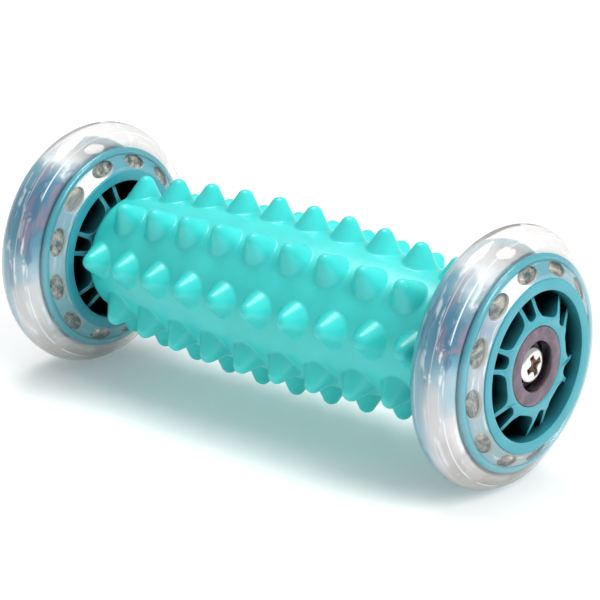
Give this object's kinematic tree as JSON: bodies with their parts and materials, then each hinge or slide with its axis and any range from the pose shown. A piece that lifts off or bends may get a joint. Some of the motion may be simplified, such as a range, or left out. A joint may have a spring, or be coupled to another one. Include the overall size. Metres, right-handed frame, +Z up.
{
  "type": "foot massage roller",
  "caption": "Spiked barrel roller on a tube, held between two clear skate-type wheels that spin on one axle line; rolled under the foot.",
  "frame": {"origin": "middle of the axle line, half way between the wheels", "axes": "+X along the axle line towards the right wheel, +Z up, so the floor is at z = -0.036"},
  "size_m": [0.17, 0.072, 0.072],
  "materials": {
    "sleeve": "soft satin thermoplastic elastomer",
    "core": "moulded polypropylene",
    "hub": "moulded nylon, semi-gloss",
    "clear_tyre": "clear cast polyurethane",
    "bush": "dark moulded acetal",
    "plated": "bright zinc plate",
    "steel": "turned steel",
    "brass": "turned brass"
  },
  "bodies": {
    "roller": {"roller_sleeve": "sleeve", "core_tube": "core", "left_end_plug": "core", "right_end_plug": "core", "left_threaded_insert": "brass", "right_threaded_insert": "brass", "left_axle_sleeve": "steel", "right_axle_sleeve": "steel", "left_screw": "plated", "right_screw": "plated", "left_screw_washer": "plated", "right_screw_washer": "plated", "left_thrust_washer": "bush", "right_thrust_washer": "bush"},
    "left_wheel": {"left_wheel_hub": "hub", "left_tyre": "clear_tyre", "left_outer_bush": "bush", "left_inner_bush": "bush"},
    "right_wheel": {"right_wheel_hub": "hub", "right_tyre": "clear_tyre", "right_outer_bush": "bush", "right_inner_bush": "bush"}
  },
  "joints": [
    {"name": "left_wheel_spin", "type": "hinge", "parent": "roller", "child": "left_wheel", "pos_m": [-0.074, 0, 0], "axis": [1, 0, 0], "continuous": true},
    {"name": "right_wheel_spin", "type": "hinge", "parent": "roller", "child": "right_wheel", "pos_m": [0.074, 0, 0], "axis": [1, 0, 0], "continuous": true}
  ]
}
